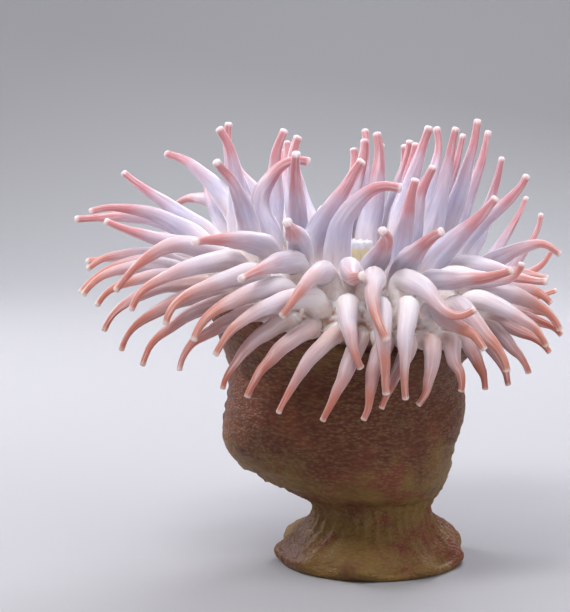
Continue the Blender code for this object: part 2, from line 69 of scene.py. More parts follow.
# Each cycle of tentacles: how many in each of ten sectors, azimuth of the first, place and size.
cycles = {
    "inner": {"perSector": 1, "turn": 0, "arc": 0.0240, "radius": 0.0055, "length": 0.060},
    "second": {"perSector": 1, "turn": 18, "arc": 0.0363, "radius": 0.0053, "length": 0.060},
    "third": {"perSector": 2, "turn": 9, "arc": 0.0474, "radius": 0.0048, "length": 0.059},
    "outer": {"perSector": 3, "turn": 6, "arc": 0.0591, "radius": 0.0043, "length": 0.057},
    "margin": {"perSector": 4, "turn": 4.5, "arc": 0.0691, "radius": 0.0040, "length": 0.056},
}

# How the tentacles are carried: elevations and headings near the root, in the middle and at the tip.
pose = {
    "hanging": {
        "inner": (78, 76, 70),
        "second": (62, 45, 30),
        "third": (35, -5, -40),
        "outer": (8, -45, -70),
        "margin": (-25, -70, -82),
    },
    "lifted": {
        "inner": (84, 84, 88),
        "second": (78, 80, 86),
        "third": (76, 80, 88),
        "outer": (62, 74, 88),
        "margin": (42, 62, 84),
    },
    # by azimuth (0 right, 90 away, 180 left, 270 near): how far the crown is lifted, and the length
    "roundCrown": (
        (0, 0.45, 0.88), (30, 0.90, 1.12), (60, 1.00, 1.10), (82, 0.75, 1.04), (93, 0.08, 0.98),
        (125, 0.15, 0.97), (150, 0.50, 1.00), (175, 0.45, 1.04), (200, 0.20, 1.00), (225, 0.00, 0.96),
        (270, 0.00, 0.86), (300, 0.00, 0.84), (330, 0.15, 0.86),
    ),
    # azimuth of the root, heading near it (0 right, 90 up), lean toward the viewer, later headings, length
    "falling": {
        "outer": (
            (198, 165, 16, 167, 158, 0.93), (210, 165, 20, 207, 237, 1.03), (222, 184, 30, 205, 247, 1.04),
            (234, 191, 38, 205, 252, 1.10), (258, 189, 34, 209, 248, 1.15), (270, 277, 40, 286, 292, 0.86),
            (282, 273, 32, 274, 276, 1.03), (294, 266, 34, 268, 275, 0.98), (306, 322, 54, 335, 293, 0.94),
            (318, 313, 42, 309, 277, 0.98), (330, 342, 22, 328, 296, 0.95), (342, 353, 8, 333, 298, 0.99),
            (354, 364, 5, 345, 315, 0.85), (366, 372, -7, 355, 353, 0.72),
        ),
        "margin": (
            (175, 156, 5, 183, 216, 0.93), (184, 162, 10, 194, 230, 0.99), (202, 174, 14, 199, 240, 0.99),
            (212, 182, 25, 208, 248, 1.10), (221, 189, 26, 209, 251, 1.20), (239, 198, 28, 217, 262, 1.00),
            (248, 214, 24, 233, 260, 0.91), (266, 222, 20, 236, 243, 0.93), (275, 245, 20, 248, 247, 0.87),
            (284, 246, 24, 258, 250, 0.85), (293, 253, 30, 250, 253, 0.78), (302, 271, 38, 257, 231, 0.74),
            (311, 280, 44, 292, 254, 0.64), (329, 312, 44, 301, 275, 0.64), (347, 347, 40, 335, 308, 0.70),
            (356, 359, 14, 343, 316, 0.69), (365, 360, -24, 350, 336, 0.70),
        ),
    },
    # set one by one, as counted round a cycle: three headings, leans near the root and at the tip, length
    "posed": {
        "inner": {
            0: (82, 76, 60, 10, 0, 1.0), 1: (76, 73, 71, -5, -10, 0.94), 2: (78, 82, 100, -20, -20, 0.95),
            3: (66, 68, 86, -25, -30, 1.03), 4: (106, 100, 68, -30, -15, 0.98),
            5: (92, 93, 88, 38, 30, 1.0), 6: (62, 58, 60, 5, 0, 1.0), 7: (86, 45, -12, 12, 5, 1.0),
            8: (64, 76, 130, 60, 58, 1.0), 9: (82, 80, 76, 10, 0, 1.0),
        },
        "second": {
            0: (73, 78, 75, -5, -10, 1.06), 1: (74, 78, 80, -20, -20, 0.87),
            2: (81, 81, 97, -30, -25, 0.84), 3: (104, 100, 92, -35, -30, 0.88),
            4: (85, 89, 61, -10, -10, 0.98), 5: (114, 54, -10, 2, -6, 1.0), 6: (112, 108, 105, 64, 66, 1.0),
            7: (255, 30, 120, 60, 50, 0.8), 8: (70, 50, 40, 45, 40, 1.0), 9: (49, 45, 52, 18, 5, 1.08),
        },
        "third": {
            0: (51, 37, 63, 0, 0, 1.03), 1: (66, 74, 80, -5, -10, 1.11), 2: (76, 72, 98, -22, -20, 1.03),
            3: (81, 72, 82, -8, -6, 0.80), 4: (82, 84, 90, -40, -35, 1.0),
            5: (180, 230, 250, -80, -60, 0.9), 6: (108, 102, 90, -50, -50, 0.9),
            7: (130, 128, 120, -40, -40, 0.95), 8: (112, 106, 80, -5, -10, 0.89),
            9: (126, 142, 172, -30, -40, 1.05), 10: (89, 101, 123, 5, 0, 0.95),
            11: (98, 112, 132, 42, 35, 1.0), 12: (160, 172, 185, 48, 50, 1.0),
            13: (190, 185, 190, 60, 55, 1.0), 14: (205, 218, 235, 60, 10, 1.0),
            15: (280, 285, 300, 62, 30, 1.0), 16: (330, 318, 400, 58, 0, 1.0),
            17: (362, 372, 382, 45, 20, 1.0), 18: (352, 364, 432, 25, 0, 0.9),
            19: (360, 342, 362, 30, 15, 0.92),
        },
        "outer": {
            1: (33, 20, -45, 10, 0, 0.80), 3: (65, 69, 78, -16, -9, 1.07), 4: (60, 69, 80, -20, -2, 1.10),
            5: (76, 83, 93, -32, -3, 0.86), 12: (112, 116, 120, -50, -55, 0.75),
            13: (148, 146, 143, -12, -10, 0.88), 14: (156, 181, 186, 0, 0, 1.12),
            15: (142, 168, 196, 5, 0, 1.06),
        },
        "margin": {
            1: (13, 8, 17, -3, -13, 0.70), 2: (31, 27, 59, -18, -3, 0.78), 3: (30, 49, 78, -25, -10, 1.12),
            4: (38, 53, 66, -28, -17, 1.05),
        },
    },
}

tentacle = {
    "taper": ((0, 1.0), (0.2, 1.04), (0.4, 0.94), (0.6, 0.70), (0.75, 0.47), (0.88, 0.33), (1.0, 0.29)),
    "uprightTo": 0.06,  # shares of the length where each heading is reached
    "nearAt": 0.30,
    "middleAt": 0.66,
    "rootDepth": 0.0015,
    "climbVaries": 6,
    "swayVaries": 7,
    "fallVaries": 3,
    "lengthVaries": 0.05,
    "leanLeft": (1, 0.4, 0.1),  # of a falling one's lean: near the root, in the middle and at the tip
    "links": 24,
    "seed": 7,
}

room = {
    "clearance": 0.0014,  # kept free between two tentacles
    "rounds": 160,
    "pullBack": 0.03,  # toward the pose, each round but the last ones
    "pullRounds": 96,
    "pairRounds": 8,  # how often neighbours are looked up, how many clearances away, and how many at once
    "pairReach": 4,
    "pairBlock": 512,
    "smoothings": 2,  # of each push, along the tentacle
    "stiffness": 0.25,
    "eagerness": 1.2,
    "rooted": 0.03,  # share of a tentacle that can't move, and over which it comes free
    "setFree": 0.25,
}
tiny = 1e-9


def unit(ways):
    # each vector divided by its own length
    return ways / np.maximum(np.linalg.norm(ways, axis=-1, keepdims=True), tiny)


def spanOf(keys, at):
    # Positions and values of (position, value...) keys, which span a place is in, its width, and how far
    # along it the place is, from 0 to 1.
    places = np.array([k[0] for k in keys], float)
    values = np.array([k[1:] for k in keys], float)
    at = np.clip(np.asarray(at, float), places[0], places[-1])
    i = np.clip(np.searchsorted(places, at, side="right") - 1, 0, len(places) - 2)
    width = (places[i + 1] - places[i])[..., None]
    return places, values, i, width, (at - places[i])[..., None] / width


def blendKeys(keys, at):
    # the keys' values at a place, joined by smooth steps: a + (b - a) * t^2 (3 - 2t)
    values, i, _, t = spanOf(keys, at)[1:]
    t = t * t * (3 - 2 * t)
    found = values[i] * (1 - t) + values[i + 1] * t
    return found[..., 0] if values.shape[1] == 1 else found


def fadeIn(value, start, over):
    # 0 up to the start, then straight up to 1 over the given distance, which may be negative
    return np.clip((value - start) / over, 0, 1)


def blendAround(keys, azimuth):
    # the same for keys that go round a circle, where 360 is 0 again
    around = [(key[0] + turn, *key[1:]) for turn in (-360, 0, 360) for key in keys]
    return blendKeys(around, np.mod(azimuth, 360))


def crownPoint(arc, azimuth, depth=0.0):
    # The oral disc: out from the mouth on a shallow dish, then round a rolled rim that curls under. A point
    # is (across * cos, across * sin, height), and the whole is tilted and waved round the edge.
    arc, azimuth = np.asarray(arc, float), np.radians(azimuth)
    roll = np.maximum(arc - crown["crest"], 0) / crown["roll"]
    rise = np.minimum(arc / crown["crest"], 1)
    across = np.minimum(arc, crown["crest"]) + (crown["roll"] - depth) * np.sin(roll)
    up = crown["dishRise"] * rise * rise * (3 - 2 * rise) - crown["roll"]
    up = up + (crown["roll"] - depth) * np.cos(roll)
    share = across / (crown["crest"] + crown["roll"])
    x = across * np.cos(azimuth) - crown["rimShift"] * share
    y = across * np.sin(azimuth)
    wave = sum(height * np.cos(count * azimuth + start) for count, height, start in crown["rimWaves"])
    z = crown["height"] + up - crown["tilt"] * x + crown["nod"] * y + wave * share * share
    return np.stack([x + crown["mouthX"], y, z], axis=-1)


def directionOf(elevation, azimuth):
    # the unit vector raised by the elevation and turned by the azimuth
    e, a = np.radians(elevation), np.radians(azimuth)
    return np.stack([np.cos(e) * np.cos(a), np.cos(e) * np.sin(a), np.sin(e)], axis=-1)


def asSeen(heading, toward):
    # a heading in the front view that leans toward the viewer
    h, t = np.radians(heading), np.radians(toward)
    return np.stack([np.cos(t) * np.cos(h), -np.sin(t), np.cos(t) * np.sin(h)], axis=-1)


def headingsOf(cycle, index, azimuth, raised, rng):
    # directions near the root, in the middle and at the tip, and how much longer the tentacle is
    low, high = np.array(pose["hanging"][cycle], float), np.array(pose["lifted"][cycle], float)
    climb = low * (1 - raised) + high * raised + rng.normal(0, tentacle["climbVaries"], 3)
    sway = np.cumsum(rng.normal(0, tentacle["swayVaries"], 3))
    if index in pose["posed"][cycle]:
        near, middle, tip, lean, lastLean, longer = pose["posed"][cycle][index]
        return asSeen((near, middle, tip), (lean, (lean + lastLean) / 2, lastLean)), longer
    fall = pose["falling"].get(cycle, ((360,), (0,)))
    beyond = azimuth if azimuth >= fall[0][0] else azimuth + 360
    if beyond <= fall[-1][0]:
        *angles, longer = blendKeys(fall, beyond)
        near, lean, middle, tip = np.array(angles) + rng.normal(0, tentacle["fallVaries"], 4)
        return asSeen((near, middle, tip), lean * np.array(tentacle["leanLeft"])), longer
    return directionOf(climb, azimuth + sway), 1.0


def tentaclePlan():
    # Size, place, length and headings of every tentacle, cycle by cycle round the mouth.
    rng = np.random.default_rng(tentacle["seed"])
    plan = []
    for cycle, size in cycles.items():
        count = 10 * size["perSector"]
        for i in range(count):
            azimuth = i * 360 / count + size["turn"]
            raised, around = blendAround(pose["roundCrown"], azimuth)
            varied = 1 + rng.normal(0, tentacle["lengthVaries"])
            headings, longer = headingsOf(cycle, i, azimuth, raised, rng)
            length = size["length"] * around * varied * longer
            plan.append({**size, "cycle": cycle, "azimuth": azimuth, "length": length, "headings": headings})
    return plan


def restLines(plan):
    # Lines of short straight steps, which leave the disc upright and turn through their three headings.
    share = np.linspace(0, 1, tentacle["links"] + 1)
    lines = np.zeros((len(plan), len(share), 3))
    radii = np.zeros((len(plan), len(share)))
    for n, t in enumerate(plan):
        root = crownPoint(t["arc"], t["azimuth"], tentacle["rootDepth"])
        normal = unit(crownPoint(t["arc"], t["azimuth"]) - root)
        near, halfway, tip = t["headings"]
        keys = [(0.0, *normal), (tentacle["uprightTo"], *normal), (tentacle["nearAt"], *near)]
        keys += [(tentacle["middleAt"], *halfway), (1.0, *tip)]
        way = unit(blendKeys(keys, (share[1:] + share[:-1]) / 2))
        steps = way * (t["length"] + tentacle["rootDepth"]) / tentacle["links"]
        lines[n] = root + np.vstack([np.zeros(3), np.cumsum(steps, axis=0)])
        radii[n] = t["radius"] * blendKeys(tentacle["taper"], share)
    return lines, radii


def columnRing(height):
    # radius and lean of the column at a height
    heights = [ring[0] for ring in column["rings"]]
    sizes = [np.interp(height, heights, [ring[k] for ring in column["rings"]]) for k in (1, 2)]
    return np.stack(sizes, axis=-1)


def pushOffBody(points, radii, free):
    # Points too near the column move out from its axis, and those too near the rim or the disc move out
    # from the core that the rim is rolled round.
    gap = room["clearance"]
    roll = crown["roll"]
    around = columnRing(np.clip(points[..., 2], 0, column["rings"][-1][0]))
    fromAxis = points[..., :2] - np.stack([around[..., 1], np.zeros_like(points[..., 0])], axis=-1)
    distance = np.linalg.norm(fromAxis, axis=-1)
    short = np.maximum(around[..., 0] + radii + gap - distance, 0)
    below = points[..., 2] < crown["height"] - roll
    points[..., :2] += fromAxis * (short * free * below / np.maximum(distance, tiny))[..., None]
    azimuth = np.arctan2(points[..., 1], points[..., 0] - crown["mouthX"] + crown["rimShift"])
    outward = np.stack([np.cos(azimuth), np.sin(azimuth)], axis=-1)
    away = points - crownPoint(crown["crest"], np.degrees(azimuth), roll)
    beyond = (away[..., :2] * outward).sum(-1)
    reach = np.hypot(beyond, away[..., 2])
    short = np.maximum(roll + radii + gap - reach, 0) * (beyond > 0) * free
    points[..., :2] += outward * (short * beyond / np.maximum(reach, tiny))[..., None]
    points[..., 2] += short * away[..., 2] / np.maximum(reach, tiny)
    short = np.maximum(roll + radii + gap - away[..., 2], 0)
    points[..., 2] += short * free * (beyond <= 0) * (away[..., 2] > -roll)


def nearPairs(points, radii, owners):
    # which points of two tentacles are close enough to touch within the next rounds
    found = []
    flat = points.astype(np.float32)
    for start in range(0, len(flat), room["pairBlock"]):
        block = slice(start, start + room["pairBlock"])
        gaps = ((flat[block, None] - flat[None]) ** 2).sum(-1)
        reach = radii[block, None] + radii[None] + room["pairReach"] * room["clearance"]
        i, j = np.nonzero(gaps < reach * reach)
        i = i + start
        keep = (i < j) & (owners[i] != owners[j])
        found.append(np.stack([i[keep], j[keep]]))
    return np.concatenate(found, axis=1)


def pushApart(lines, radii, free, i, j):
    # two points that are too close part along the line between them, shared by how free each is to move
    points, free = lines.reshape(-1, 3), free.ravel()
    away = points[i] - points[j]
    distance = np.linalg.norm(away, axis=1)
    short = np.maximum(radii.ravel()[i] + radii.ravel()[j] + room["clearance"] - distance, 0)
    share = short / np.maximum((free[i] + free[j]) * distance, tiny)
    move = np.zeros_like(points)
    hits = np.ones(len(points))
    np.add.at(move, i, away * (share * free[i])[:, None])
    np.add.at(move, j, -away * (share * free[j])[:, None])
    np.add.at(hits, i, short > 0)
    np.add.at(hits, j, short > 0)
    return (move / np.maximum(hits - 1, 1)[:, None]).reshape(lines.shape)


def makeRoom(lines, radii):
    # The tentacles push each other and the body aside, each keeping its length and nearly its pose.
    rest = lines.copy()
    count = lines.shape[1]
    free = fadeIn(np.linspace(0, 1, count), room["rooted"], room["setFree"])
    free = free * np.ones((len(lines), 1))
    link = np.linalg.norm(rest[:, 1:] - rest[:, :-1], axis=2)
    owners = np.repeat(np.arange(len(lines)), count)
    for turn in range(room["rounds"]):
        if turn % room["pairRounds"] == 0:
            i, j = nearPairs(lines.reshape(-1, 3), radii.ravel(), owners)
        if turn < room["pullRounds"]:
            lines += (rest - lines) * room["pullBack"] * free[..., None]
        move = pushApart(lines, radii, free, i, j) * room["eagerness"]
        for _ in range(room["smoothings"]):
            move[:, 1:-1] = (move[:, :-2] + 2 * move[:, 1:-1] + move[:, 2:]) / 4
        lines += move
        pushOffBody(lines, radii, free)
        bend = lines[:, :-2] - 2 * lines[:, 1:-1] + lines[:, 2:]
        ownBend = rest[:, :-2] - 2 * rest[:, 1:-1] + rest[:, 2:]
        lines[:, 1:-1] += (bend - ownBend) * room["stiffness"] * free[:, 1:-1, None]
        for k in range(count - 1):
            way = unit(lines[:, k + 1] - lines[:, k])
            lines[:, k + 1] = lines[:, k] + way * link[:, k][:, None]
    return lines


plan = tentaclePlan()
lines, radii = restLines(plan)
lines = makeRoom(lines, radii)
print("pose worked out,", len(plan), "tentacles")


def smoothCurve(values, at):
    # Catmull-Rom through evenly spaced values (..., points, parts) at shares from 0 to 1.
    last = values.shape[-2] - 1
    place = np.clip(at, 0, 1) * last
    i = np.minimum(place.astype(int), last - 1)
    t = (place - i)[:, None]
    before, a = values[..., np.maximum(i - 1, 0), :], values[..., i, :]
    b, after = values[..., i + 1, :], values[..., np.minimum(i + 2, last), :]
    bend = 2 * before - 5 * a + 4 * b - after
    return a + 0.5 * t * (b - before + t * (bend + t * (3 * (a - b) + after - before)))


def cubic(t, a, fromA, b, intoB):
    # The curve from a to b that leaves a along one way and comes into b along the other.
    found = a * (1 + 2 * t) * (1 - t) ** 2 + fromA * t * (1 - t) ** 2
    return found + b * t * t * (3 - 2 * t) + intoB * t * t * (t - 1)


def smoothKeys(keys, at):
    # A curve through unevenly spaced keys whose slope at each key is the mean of its neighbours' slopes.
    places, values, i, width, t = spanOf(keys, at)
    slopes = np.gradient(values, places, axis=0)
    found = cubic(t, values[i], slopes[i] * width, values[i + 1], slopes[i + 1] * width)
    return found[..., 0] if values.shape[1] == 1 else found


def stacked(*parts):
    # points or vectors from their coordinates, each an array of its own
    return np.stack(np.broadcast_arrays(*parts), axis=-1)


def bell(value, middle, reach):
    # exp(-x^2): 1 in the middle and about a third one reach away from it
    return np.exp(-(((value - middle) / reach) ** 2))


def fill(items, key, values, kind=np.float32):
    # one value or vector for each item of a mesh, all at once
    items.foreach_set(key, values.astype(kind).ravel())


def closedGrid(name, points, uv, flow, place):
    # Mesh of a grid (rows, sides, 3) that is closed round and has a pole at each end. Rows run so that the
    # faces point outward. uv, flow and place are given with one more column, for the seam.
    rows, sides = points.shape[:2]
    verts = np.concatenate([points[0, :1], points[1:-1].reshape(-1, 3), points[-1, :1]])
    k = np.arange(sides)
    after = (k + 1) % sides
    row = np.arange(rows - 3)[:, None] * sides + 1
    quads = np.stack([row + k, row + after, row + sides + after, row + sides + k], axis=-1).reshape(-1, 4)
    last = len(verts) - 1
    low = stacked(0, 1 + after, 1 + k)
    high = stacked(last, last - sides + k, last - sides + after)
    corners = np.concatenate([quads.ravel(), low.ravel(), high.ravel()])
    starts = np.concatenate([np.arange(len(quads)) * 4, len(quads) * 4 + np.arange(2 * sides) * 3])
    mesh = bpy.data.meshes.new(name)
    mesh.vertices.add(len(verts))
    mesh.loops.add(len(corners))
    mesh.polygons.add(len(starts))
    fill(mesh.vertices, "co", verts)
    fill(mesh.loops, "vertex_index", corners, np.int32)
    fill(mesh.polygons, "loop_start", starts, np.int32)
    mesh.update(calc_edges=True)
    # the rest is set at corners, so that the seam column keeps its own
    r, c = np.arange(1, rows - 2)[:, None, None], k[None, :, None]
    poleRows = [np.tile([0, 1, 1], sides), np.tile([rows - 1, rows - 2, rows - 2], sides)]
    poleCols = [stacked(k, k + 1, k).ravel(), stacked(k, k, k + 1).ravel()]
    atRow = np.concatenate([(r + 0 * c + np.array([0, 0, 1, 1])).ravel(), *poleRows])
    atCol = np.concatenate([(c + 0 * r + np.array([0, 1, 1, 0])).ravel(), *poleCols])
    fill(mesh.uv_layers.new(name="OFBake").data, "uv", uv[atRow, atCol])
    for label, values in (("flow", flow), ("place", place)):
        fill(mesh.attributes.new(label, "FLOAT_VECTOR", "CORNER").data, "vector", values[atRow, atCol])
    return mesh


def addObject(name, data):
    made = bpy.data.objects.new(name, data)
    scene.collection.objects.link(made)
    return made


# What the middle number of "place" tells the materials: a tentacle is from 0, cool, to warm, and one of the
# lowest row a little more, which marks it for painted shade.
zones = {"warm": 0.38, "lowestShaded": 0.06, "tentacle": 0.5, "column": 1.0, "columnEnd": 1.02, "disc": 2.0}
zones |= {"mouth": 3.0, "lip": 0.5}

# Where each surface lies in its UV map: the body at the bottom, the tentacles in rows of strips above it.
atlas = {"bodyHigh": 0.42, "bodyGap": 0.010, "bodyEdge": 0.004}
atlas |= {"stripRows": 5, "stripColumns": 22, "stripEdge": 0.04}

skin = {
    "sides": 14,  # round a tentacle
    "stations": (
        *(-0.05, -0.05, 0.000, 0.028, 0.040, 0.056, 0.080, 0.115),
        *np.arange(0.155, 0.90, 0.04),
        *(0.915, 0.938, 0.955, 0.968, 0.980, 0.988, 0.995, 1.0),
    ),
    # against the solids, by share of the length, and the lowest row against the others
    "fuller": ((0, 1.08), (0.22, 1.02), (0.45, 0.98), (0.70, 1.03), (0.88, 1.12), (1, 1.14)),
    "lowSlimmer": 0.90,
    "flare": 0.22,  # how much wider a root is where it leaves the disc
    "flareAt": 0.026,
    "flareFade": 0.016,
    "pleats": 5,  # folds round a root
    "pleatHigh": 0.09,
    "pleatFade": 0.06,
    "knob": 0.10,  # the tip's slight swelling, where it is and how far it reaches
    "knobBell": (0.988, 0.022),
    "capAt": 0.978,  # where the end starts to close
    "lump": 0.022,  # uneven thickness, and the pace and share of its waves
    "lumps": ((17, 1.0), (31, 0.6)),
    "oval": 0.06,
    "ovalTwist": 2,
    "evenTo": 0.15,  # no lumps and no oval at the root itself
    "kink": 0.00018,  # how far a tentacle wavers from its line, and the pace and share of its waves
    "kinks": ((15, 0.6), (27, 0.4)),
    "straightTo": 0.3,
    "firstSide": (0.3, 0.8, 0.52),  # any direction that no root points in
    "warmBelow": (0.165, 0.110),  # heights of a tip between which its tentacle turns from lilac to orange
    "grainRound": 0.004,  # radius and stretch of the pattern's own tube, and how far apart two of them are
    "grainLong": 0.12,
    "grainApart": (0.37, 0.11),
    "seed": 11,
}


def sidesAlong(centres):
    # Two directions across each line at its points, turned as little as possible from one to the next.
    way = np.gradient(centres, axis=1)
    way[:, 0] = way[:, 1] = centres[:, 2] - centres[:, 1]
    way = unit(way)
    side = np.zeros_like(way)
    side[:, 0] = unit(np.cross(way[:, 0], np.array(skin["firstSide"])))
    for k in range(1, way.shape[1]):
        side[:, k] = unit(side[:, k - 1] - way[:, k] * (side[:, k - 1] * way[:, k]).sum(1)[:, None])
    return side, np.cross(way, side)


def widthsOf(plan, at, isLow, waves):
    # Radius down each tentacle: the taper, a flared root, a swollen tip, a round end and slow waves.
    inside = np.clip(at, 0, 1)
    radius = np.array([t["radius"] for t in plan])[:, None] * smoothKeys(tentacle["taper"], inside)
    radius = radius * smoothKeys(skin["fuller"], inside)
    radius = radius * np.where(isLow, skin["lowSlimmer"], 1.0)[:, None]
    radius = radius * (1 + skin["flare"] * np.exp(-np.maximum(at - skin["flareAt"], 0) / skin["flareFade"]))
    radius = radius * (1 + skin["knob"] * bell(at, *skin["knobBell"]))
    cap = fadeIn(at, skin["capAt"], 1 - skin["capAt"])
    radius = radius * np.sqrt(np.maximum(1 - cap * cap, 0.0))
    lump = sum(np.sin(at * pace + start) * share for start, (pace, share) in zip(waves, skin["lumps"]))
    return radius * (1 + skin["lump"] * lump * fadeIn(at, 0, skin["evenTo"]))


def tentacleLines(lines, at, starts):
    # Points down each tentacle: the smooth curve through its links, carried on straight below the disc,
    # with a slight waver that fades toward the root.
    centres = smoothCurve(lines, np.clip(at, 0, 1))
    back = lines[:, 0] - lines[:, 1]
    centres += back[:, None] * (np.minimum(at, 0) * -tentacle["links"])[:, None]
    waves = zip(starts, skin["kinks"])
    waver = sum(np.sin(at[:, None] * pace + start) * share for start, (pace, share) in waves)
    return centres + waver * skin["kink"] * (fadeIn(at, 0, skin["straightTo"]) ** 2)[:, None]


def buildTentacles(plan, lines):
    # Each one is a circle carried along its line: centre + reach * (cos * side + sin * other side). The
    # reach is the radius, a little oval, with pleats that fade from the root.
    rng = np.random.default_rng(skin["seed"])
    at = np.array(skin["stations"])
    count = len(plan)
    starts = rng.uniform(0, 2 * np.pi, (4, count, 1, 3))  # of which the kinks use two
    waves = rng.uniform(0, 2 * np.pi, (3, count, 1))
    tone = rng.uniform(0, 1, count)
    isLow = np.array([t["cycle"] == "margin" for t in plan])
    centres = tentacleLines(lines, at, starts)
    side, other = sidesAlong(centres)
    turn = np.arange(skin["sides"] + 1) * 2 * np.pi / skin["sides"]
    oval = skin["oval"] * np.cos(2 * turn + waves[2][..., None] + at[:, None] * skin["ovalTwist"])
    oval = oval * fadeIn(at, 0, skin["evenTo"])[:, None]
    pleat = skin["pleatHigh"] * np.cos(skin["pleats"] * turn + waves[0][..., None] * 3)
    pleat = pleat * np.exp(-np.clip(at, 0, 1) / skin["pleatFade"])[:, None]
    reach = widthsOf(plan, at, isLow, waves)[..., None] * (1 + oval + pleat)
    circle = np.cos(turn)[:, None] * side[:, :, None] + np.sin(turn)[:, None] * other[:, :, None]
    points = centres[:, :, None] + reach[..., None] * circle
    points[:, 0] = centres[:, 0][:, None]
    points[:, -1] = centres[:, -1][:, None]
    top, bottom = skin["warmBelow"]
    warm = fadeIn(centres[:, -1, 2], top, bottom - top)
    # the lowest row, when it hangs, gets a mark of its own, by which the materials darken it as painted
    # shade
    zone = zones["warm"] * warm + zones["lowestShaded"] * isLow * warm
    high, wide = (1 - atlas["bodyHigh"]) / atlas["stripRows"], 1 / atlas["stripColumns"]
    edge, ringWide = atlas["stripEdge"], skin["grainRound"]
    across = edge + (1 - 2 * edge) * turn / turn[-1]
    down = edge + (1 - 2 * edge) * (at - at[0]) / (at[-1] - at[0])
    objects = []
    for n, t in enumerate(plan):
        row, col = divmod(n, atlas["stripColumns"])
        uv = stacked((col + across) * wide, atlas["bodyHigh"] + (row + down[:, None]) * high)
        apart = n * np.array(skin["grainApart"])
        long = at[:, None] * t["length"] * skin["grainLong"]
        flow = stacked(np.cos(turn) * ringWide + apart[0], np.sin(turn) * ringWide + apart[1], long)
        place = stacked(at[:, None], zone[n] + 0 * turn, tone[n])
        name = f"tube{n:03d}"
        objects.append(addObject(name, closedGrid(name, points[n, :, :-1], uv, flow, place)))
    return objects


def ripple(u, v, seed, waves, around, along):
    # A sum of sine waves over a surface that closes round: u counts turns, v is a length in metres.
    rng = np.random.default_rng(seed)
    total = np.zeros(np.broadcast(u, v).shape)
    for _ in range(waves):
        turns = rng.integers(around[0], around[1] + 1) * rng.choice([-1, 1])
        pitch = rng.uniform(*along)
        total += np.sin(2 * np.pi * (turns * u + v / pitch) + rng.uniform(0, 2 * np.pi))
    return total / math.sqrt(waves)


trunk = {
    "turns": 200,  # columns round the body
    "footRows": 6,
    "wallRows": 64,
    "collarRows": 16,
    "discRows": 62,
    "flatFoot": 0.0402,  # radius of the flat underside
    "footEdge": (0.0412, 0, 0.0005),  # radius, lean and height of the ring round it
    "wallFrom": 0.0016,
    "edgeSlope": 0.25,  # how much the wall draws in below its second ring
    "wallSwing": 0.020,  # how far the collar carries on the wall's way, and the rim's
    "rimSwing": 0.014,
    "rimStep": 0.001,
    "discEnd": 0.0088,  # arc where the mouth begins
    "discSpread": 1.08,  # rows stand a little closer at the rim
    "rimFade": 0.010,
    "grainRound": 0.05,  # radius of the pattern's own tube
}

mouth = {
    # height over the disc and radius of each ring, and how far the first ones keep the disc's slope
    "rings": (
        *((0.0004, 0.0080), (0.0010, 0.0068), (0.0024, 0.0058), (0.0045, 0.0051), (0.0069, 0.0049)),
        *((0.0091, 0.0051), (0.0111, 0.0057), (0.0129, 0.0064), (0.0142, 0.0065), (0.0149, 0.0057)),
        *((0.0143, 0.0047), (0.0129, 0.0038), (0.0111, 0.0030), (0.0089, 0.0024), (0.0064, 0.0018)),
        (0.0052, 0.0),
    ),
    "keeps": (1.0, 0.9, 0.5, 0.1, *[0.0] * 12),
    "discRings": 2,  # over which disc turns into mouth
    "frillRings": 13,  # the throat below them has none
    "frills": ((11, 1.0, 0), (17, 0.5, 1)),  # how many, share and start of each wave
    "frillHigh": 0.0003,
    "frillLag": 0.8,
    "frillWide": 0.0006,
    "frillBell": (0.0142, 0.0026),  # height that it is at, and how far it reaches
    "pleats": 14,
    "pleatHigh": 0.00028,
    "pleatRings": (2, 7),
    "slit": 0.45,  # how much narrower the throat gets one way
    "slitRings": (10, 3),
}

folds = {
    # for each: seed, number of waves, how many times they go round, and how long they are up the surface
    "ripples": {
        "swell": (5, 5, (1, 4), (0.040, 0.090)),
        "wrinkle": (3, 9, (2, 22), (0.0040, 0.0090)),
        "tuck": (31, 6, (1, 6), (0.0070, 0.0140)),
        "furrow": (8, 5, (9, 26), (0.05, 0.16)),
        "footLobe": (13, 6, (2, 9), (1.0, 2.0)),
        "crumple": (21, 7, (16, 44), (0.005, 0.016)),
    },
    "swell": 0.0017,  # broad uneven bulges of the column
    "wrinkle": 0.00026,  # fine level wrinkles
    "tuck": 0.0006,  # level folds where the belly narrows, the height and how far they reach
    "tuckBell": (0.040, 0.013),
    "furrow": 0.00025,  # upright folds, deepest at the waist
    "furrowSharp": 1.2,
    "waistFurrow": 0.0009,
    "waistBell": (0.021, 0.011),
    "footLobe": 0.0028,  # waves of the foot's edge
    "footBell": (0, 0.009),
    "footRise": (0, 0.002),
    "onWall": (0.001, 0.004),  # a height, and how far the folds take to come in there
    "offWall": (1.15, -0.15),  # zones, as the next two are
    "onDisc": (1.2, 0.5),
    "offDisc": 2.2,
    "crumple": 0.0044,  # sharp ridges of the tissue between the roots
    "crumpleSharp": 1.3,
    "crumpleSink": 0.35,
    "crumpleFrom": (0.024, 0.014),  # away from the mouth
    "spoke": 0.0003,
    "spokes": 20,
}


def ringAt(around, radius, lean, height):
    # a level circle whose centre is shifted sideways by the lean
    xy = around * radius + np.array([lean, 0.0])
    return np.concatenate([xy, np.full((len(around), 1), height)], axis=1)


def columnRings(around):
    # The flat foot, then the wall, whose radius and lean follow a smooth curve through the column's rings.
    parts = [ringAt(around, r, 0, 0.0) for r in np.linspace(0, trunk["flatFoot"], trunk["footRows"])]
    parts.append(ringAt(around, *trunk["footEdge"]))
    heights = np.linspace(trunk["wallFrom"], column["rings"][-1][0], trunk["wallRows"])
    edge = column["rings"][1][0]
    sizes = smoothKeys(column["rings"][1:], np.maximum(heights, edge))
    sizes[:, 0] -= np.maximum(edge - heights, 0) * trunk["edgeSlope"]
    return parts + [ringAt(around, r, lean, h) for h, (r, lean) in zip(heights, sizes)]


